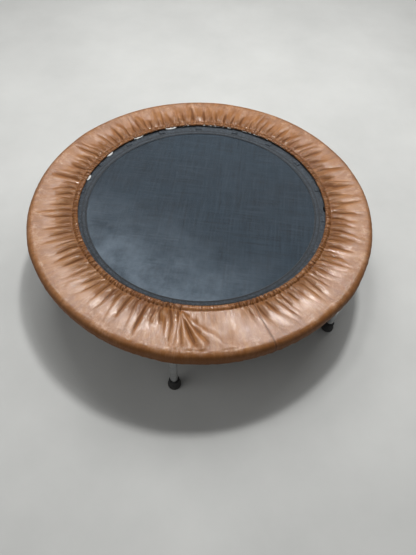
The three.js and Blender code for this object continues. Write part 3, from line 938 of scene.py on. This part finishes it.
def build_webbing():
    """The band is folded over the mat's edge: a strap above, a rounded outer edge, and a strap below."""
    edge = mat_edge(MAT_ANGLES)
    pucker = 0.0004 * wavy(MAT_ANGLES, 61, 40, 160)
    # Points of the section: share of the way from the band's inner edge to the mat's, distance past, height.
    section = ([(0.0, 0, 0.0003), (-0.01, 0, 0.0009), (0.01, 0, 0.0014)]
               + [(x, 0, 0.0016) for x in np.linspace(0.04, 0.95, 14)]
               + [(1, 0.0018, 0.0012), (1, 0.0030, 0.0), (1, 0.0030, -0.0014), (1, 0.0018, -0.0026),
                  (1, -0.001, -0.0032)]
               + [(x, 0, -0.0032) for x in np.linspace(0.9, 0.45, 5)]
               + [(0.45, 0, -0.0019), (0.9, 0, -0.0019), (1, 0.0002, -0.0018), (1, 0.0006, -0.0006),
                  (1, 0.0002, 0.0002), (0.9, 0, 0.0003)])
    rows = []
    for share, beyond, z in section:
        r = BAND_INNER_R + (edge - BAND_INNER_R) * share + beyond
        lift = pucker * (1 if z > 0.0003 else 0) * (0.4 + 0.6 * share)
        rows.append(round_row(r, MAT_TURNS, MAT_TOP + z + lift))
    points = np.concatenate(rows)
    piece = new_piece("mat_webbing_band", points, grid_faces(len(section), MAT_COLUMNS, wrap_rows=True))
    store(piece, "across", np.hypot(points[:, 0], points[:, 1]))
    store(piece, "along", np.tile(MAT_TURNS * MAT_EDGE_R, len(section)))
    dress(piece, WEBBING, "webbing", "mat_webbing")
    stitch_z = MAT_TOP + 0.0018
    lines = [stitches_round(round_row(r, MAT_TURNS, stitch_z), pitch=2, cover=1, thickness=0.0006)
             for r in (*STITCH_ROWS, edge - 0.006)]
    stitches = new_piece("webbing_stitches", *merged(lines))
    dress(stitches, MAT_THREAD, "webbing")
    return piece, stitches


mat = build_mat()
webbing, webbing_stitches = build_webbing()


def spun(points, pair):
    """Points of the first pair of springs, moved round to another pair."""
    spin = Matrix.Rotation(math.radians(PAIR_ANGLE * pair), 3, "Z")
    return [spin @ Vector(p) for p in points]


def build_tabs():
    """A loop of webbing at each ring. It goes round the ring's inner bar and is sewn to the band."""
    half, wrap, half_thick = 0.0105, 0.0028, 0.0006
    wrapped = []
    for step in range(13):
        turn = math.radians(90 - 180 * step / 12)
        wrapped.append((RING_R + wrap * math.cos(turn), WIRE_Z + wrap * math.sin(turn)))
    upper = [(RING_R - x, MAT_TOP + 0.0026) for x in (0.030, 0.020, 0.012, 0.006)]
    lower = [(RING_R - x, MAT_TOP - 0.0052) for x in (0.006, 0.012, 0.020)]
    line = np.array(upper + wrapped + lower)
    along = np.gradient(line, axis=0)
    along /= np.linalg.norm(along, axis=1)[:, None]
    out = np.stack([-along[:, 1], along[:, 0]], -1) * half_thick
    section = np.concatenate([line + out, (line - out)[::-1]])
    columns = [-half, -half * 0.6, 0, half * 0.6, half]
    points = [(r, y, z) for y in columns for r, z in section]
    faces = grid_faces(len(columns), len(section))
    faces += [face[::-1] for face in end_caps(len(columns), len(section))]
    piece = new_piece("mat_tabs", *merged([(spun(points, pair), faces) for pair in range(PAIRS)]))
    places = np.array([v.co for v in piece.data.vertices])
    store(piece, "across", np.hypot(places[:, 0], places[:, 1]))
    store(piece, "along", np.arctan2(places[:, 1], places[:, 0]) * MAT_EDGE_R)
    return dress(piece, WEBBING, "webbing")


tabs = build_tabs()


# ---------------------------------------------------------------- rings and springs

WIRE_R = 0.0009
COIL_R = 0.0054
COIL_PITCH = 2.35 * WIRE_R
LOOP_R = 0.0042  # the loop at a spring's end
RING_WIRE_R = 0.0016
RING_OUTER_R = RING_R + 0.0175


def ring_path():
    inner, outer = RING_R, RING_OUTER_R
    corners = [(inner, -0.016), (outer, -0.0075), (outer, 0.0075), (inner, 0.016)]
    return [(x, y, WIRE_Z) for x, y in rounded(corners, 0.004, closed=True, steps=5)]


def spring_path(side):
    """A spring from its loop on the ring to its hook in the frame tube, in the pair's own direction +X."""
    start = Vector((RING_OUTER_R, side * 0.0066, WIRE_Z))
    end = polar(SINK_START + 0.001, side * HOLE_OFFSET, WIRE_Z)
    along = (end - start).normalized()
    up = Vector((0, 0, 1))
    across = along.cross(up)
    total = (end - start).length
    path = []

    def place(s, a, b):
        path.append(start + along * s + across * a + up * b)

    for k in range(15):  # the loop that holds the ring
        turn = math.radians(-150 + 300 * k / 14)
        place(LOOP_R * 0.3 - LOOP_R * math.cos(turn), 0, LOOP_R * math.sin(turn))
    coil_from, coil_to = 0.011, total - 0.012
    steps = int((coil_to - coil_from) / COIL_PITCH) * 10
    for k in range(steps + 1):
        turn = 2 * math.pi * k / 10
        grow = min(1.0, k / 6, (steps - k) / 6 + 0.25)
        place(coil_from + (coil_to - coil_from) * k / steps, COIL_R * grow * math.sin(turn),
              COIL_R * grow * math.cos(turn))
    place(coil_to + 0.003, 0, 0.001)
    for s, b in ((-0.004, 0.0), (0.002, 0.0), (0.0048, -0.0008), (0.0062, -0.0032), (0.0056, -0.0058)):
        place(total + s, 0, b)
    return path


def build_springs():
    pieces = []
    spring_wires = {side: swept(spring_path(side), WIRE_R, 5) for side in (-1, 1)}
    ring_wire = swept(ring_path(), RING_WIRE_R, 8, closed=True)
    for pair in range(PAIRS):
        number = f"{pair + 1:02d}"
        for name, (points, faces) in ((f"ring_{number}", ring_wire), (f"spring_{number}_a", spring_wires[-1]),
                                      (f"spring_{number}_b", spring_wires[1])):
            piece = new_piece(name, spun(points, pair), faces)
            pieces.append(dress(piece, SPRING_STEEL, "spring_steel", f"spring_pair_{number}"))
    return pieces


springs = build_springs()


# ---------------------------------------------------------------- frame and legs


def cut_away(piece, cutter):
    """Cuts one mesh out of another, and removes the cutter."""
    cut = piece.modifiers.new("cut", "BOOLEAN")
    cut.object = cutter
    cut.solver = "EXACT"
    mesh = bpy.data.meshes.new_from_object(piece.evaluated_get(bpy.context.evaluated_depsgraph_get()))
    piece.modifiers.clear()
    piece.data = mesh
    bpy.data.objects.remove(cutter)


def build_hoop():
    """The frame tube, with a drilled hole for each spring and the closed joint between its two ends."""
    sides = 28
    section = [(HOOP_R + TUBE_R * math.cos(turn), HOOP_Z + TUBE_R * math.sin(turn))
               for turn in (2 * math.pi * k / sides for k in range(sides))]
    hoop = ring_turned("frame_hoop", section, 288, (0, 0))
    hole_r, groove_half = 0.0030, 0.0006
    cutters = []
    for pair in range(PAIRS):
        for side in (-1, 1):
            turn = PAIR_ANGLE * pair + side * HOLE_OFFSET
            cutters.append(swept([polar(SINK_START + r, turn, WIRE_Z) for r in (-0.004, 0.010)], hole_r, 14))
    cut_away(hoop, new_piece("hole_cutter", *merged(cutters)))
    groove_r = TUBE_R + 0.0002
    groove = [polar(HOOP_R + groove_r * math.cos(turn), 0, HOOP_Z + groove_r * math.sin(turn))
              for turn in np.arange(64) * 2 * math.pi / 64]
    cut_away(hoop, new_piece("joint_cutter", *swept(groove, groove_half, 6, closed=True)))
    hoop.data.shade_smooth()
    return dress(hoop, GALVANISED, "frame_steel", "hoop_tube", "joint_sleeve")


def screw_thread(name, centre, low, high, radius, pitch, depth):
    """A solid threaded rod: the radius of each point follows the thread's helix."""
    sides = 24
    rows = int((high - low) / (pitch / 8)) + 1
    points = []
    for row in range(rows):
        z = low + (high - low) * row / (rows - 1)
        for k in range(sides):
            turn = 2 * math.pi * k / sides
            phase = ((z - low) / pitch - k / sides) % 1
            r = radius - depth * (1 - abs(2 * phase - 1))
            points.append((centre[0] + r * math.cos(turn), centre[1] + r * math.sin(turn), z))
    return new_piece(name, points, outer_faces(rows, sides) + end_caps(rows, sides))


def build_leg(number):
    tube, tip, insert, boss, stud = (f"{part}_{number}" for part in
                                     ("leg_tube", "rubber_tip", "leg_insert", "leg_boss", "leg_stud"))
    low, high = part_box(tube)
    centre = (low + high) / 2
    at = (centre.x, centre.y)
    leg = f"leg_{number}"
    outer = 0.0111
    inner = outer - 0.0012

    profile = [(inner, low.z), (outer, low.z), (outer, high.z), (inner, high.z)]
    piece = ring_turned(f"{leg}_tube", rounded(profile, 0.0005, closed=True), 40, at)
    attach(dress(piece, CHROME, "leg_chrome", tube), leg)

    bore, foot, height = outer + 0.0002, 0.0183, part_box(tip)[1].z
    profile = [(0, 0.0006), (foot - 0.006, 0.0006), (foot - 0.0045, 0.0), (foot - 0.0016, 0.0),
               (foot, 0.0022), (foot, 0.0085), (foot - 0.0022, 0.0118), (foot - 0.0032, 0.0150)]
    z = 0.0165
    while z < height - 0.006:  # shallow moulded rings
        profile += [(foot - 0.0034, z), (foot - 0.0041, z + 0.0012), (foot - 0.0041, z + 0.0026),
                    (foot - 0.0034, z + 0.0036)]
        z += 0.0052
    profile += [(foot - 0.0036, height - 0.0022), (foot - 0.0044, height), (bore + 0.0003, height),
                (bore, height - 0.0006), (bore, 0.0088), (0, 0.0088)]
    piece = turned(f"{leg}_tip", rounded(profile, 0.0006), 40, at)
    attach(dress(piece, RUBBER, "tip_rubber", tip), leg)

    stud_r = 0.0048
    plug_r, hole_r = inner - 0.0002, stud_r + 0.0003
    low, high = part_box(insert)
    profile = [(hole_r, low.z), (plug_r, low.z), (plug_r, high.z - 0.0018), (outer, high.z - 0.0018),
               (outer, high.z), (hole_r, high.z)]
    piece = ring_turned(f"{leg}_insert", rounded(profile, 0.0004, closed=True), 32, at)
    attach(dress(piece, ZINC, "zinc", insert), leg)

    low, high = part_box(stud)
    piece = screw_thread(f"{leg}_stud", at, low.z, high.z, stud_r, pitch=0.0015, depth=0.0007)
    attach(dress(piece, ZINC, "zinc", stud), "frame")

    boss_r, hole_r, low, top = 0.013, stud_r + 0.0004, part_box(boss)[0], HOOP_Z - TUBE_R + 0.0052
    profile = [(hole_r, low.z), (boss_r, low.z), (boss_r, top - 0.0007), (boss_r - 0.004, top), (hole_r, top)]
    piece = ring_turned(f"{leg}_boss", rounded(profile, 0.0008, closed=True), 36, at)
    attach(dress(piece, GALVANISED, "frame_steel", boss), "frame")


def build_screw(number):
    """A pan-head screw with a cross recess. It goes up through the hoop's joint and the sleeve inside."""
    low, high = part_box(f"joint_screw_{number}")
    x, y = (low.x + high.x) / 2, (low.y + high.y) / 2
    head_r, shank_r, recess_half, recess_width = 0.0040, 0.0019, 0.0024, 0.0005
    profile = [(0, low.z), (head_r - 0.0016, low.z), (head_r - 0.0004, low.z + 0.0009),
               (head_r, low.z + 0.0019), (head_r, low.z + 0.0024), (shank_r, low.z + 0.0024),
               (shank_r, high.z - 0.0015), (0, high.z)]
    screw = turned(f"joint_screw_{number}_pan_head", rounded(profile, 0.0004), 32, (x, y))
    sides = [[3, 2, 1, 0], [4, 5, 6, 7], [0, 1, 5, 4], [1, 2, 6, 5], [2, 3, 7, 6], [3, 0, 4, 7]]
    for across, along in ((recess_half, recess_width), (recess_width, recess_half)):
        corners = [(x + a * across, y + b * along, z) for z in (low.z - 0.001, low.z + 0.0011)
                   for a, b in ((-1, -1), (1, -1), (1, 1), (-1, 1))]
        cut_away(screw, new_piece("cross_cutter", corners, sides, False))
    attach(dress(screw, ZINC, "zinc", f"joint_screw_{number}"), "frame")


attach(build_hoop(), "frame")
for number in (1, 2):
    build_screw(number)
for number in range(1, LEGS + 1):
    build_leg(number)

# ---------------------------------------------------------------- what moves with what

inner_elastic = elastic_band("inner_elastic_band", opening_radius(BAND_ANGLES) + 0.0066, CASING_MIDDLE[1],
                             width=0.006, thick=0.0022, node="inner_elastic")
hem_middle_r = RIM_R + rim_bulge(BAND_ANGLES) + HEM_RIPPLES * rim_ripple(BAND_ANGLES) - HEM_LEAN - HEM_HALF
outer_elastic = elastic_band("hem_elastic_band", hem_middle_r, HEM_START + 0.0004,
                             width=0.0011, thick=0.0030, node="outer_elastic")
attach(outer_elastic, "frame")
for piece in (skirt, casing_stitches, seam_stitches, inner_elastic,
              mat, webbing, webbing_stitches, tabs, *springs):
    sink(piece)

# ---------------------------------------------------------------- floor, light and camera

LIGHT_TARGET = Vector((0, 0, 0.2))


def build_floor():
    half = 8
    corners = [(-half, -half, 0), (half, -half, 0), (half, half, 0), (-half, half, 0)]
    piece = new_piece("floor", corners, [[0, 1, 2, 3]], False)
    piece.data.materials.append(floor_material())


def add_light(name, place, size, power):
    data = bpy.data.lights.new(name, "AREA")
    data.shape = "SQUARE"
    data.size = size
    data.energy = power
    light = bpy.data.objects.new(name, data)
    light.location = place
    light.rotation_euler = (LIGHT_TARGET - place).to_track_quat("-Z", "Y").to_euler()
    bpy.context.scene.collection.objects.link(light)


def add_camera():
    """The camera looks down at the trampoline from the side VIEW_SIDE, slightly rolled."""
    away, height = 1.829 * RIM_R, 2.275 * RIM_R
    pitch, yaw, roll = (math.radians(k) for k in (55.08, 1.835, 2.622))
    forward = Vector((math.sin(yaw) * math.cos(pitch), math.cos(yaw) * math.cos(pitch), -math.sin(pitch)))
    right = Vector((math.cos(yaw), -math.sin(yaw), 0))
    up = right.cross(forward)
    rolled_right = right * math.cos(roll) + up * math.sin(roll)
    rolled_up = up * math.cos(roll) - right * math.sin(roll)
    spin = Matrix.Rotation(math.radians(VIEW_SIDE + 90), 4, "Z")
    turn = Matrix((rolled_right, rolled_up, -forward)).transposed().to_4x4()
    camera = bpy.data.objects.new("camera", bpy.data.cameras.new("camera"))
    camera.data.lens = 28.2
    camera.data.sensor_width = 36
    camera.matrix_world = spin @ Matrix.Translation((0, -away, height)) @ turn
    bpy.context.scene.collection.objects.link(camera)
    bpy.context.scene.camera = camera


build_floor()
add_light("key", polar(1.15, toward_view(158), 3.1), 0.3, 60)
add_light("near", polar(0.5, toward_view(185), 2.0), 0.3, 9)
add_light("back", polar(2.0, toward_view(206), 2.7), 1.2, 34)
add_light("right", polar(2.1, toward_view(140), 2.5), 1.4, 24)
add_light("fill", polar(2.6, toward_view(-60), 2.2), 2.2, 17)
world = bpy.data.worlds.new("world")
world.use_nodes = True
background = world.node_tree.nodes["Background"]
background.inputs["Color"].default_value = (0.89, 0.89, 0.89, 1)
background.inputs["Strength"].default_value = 0.24
bpy.context.scene.world = world
bpy.context.scene.view_settings.view_transform = "Standard"
add_camera()
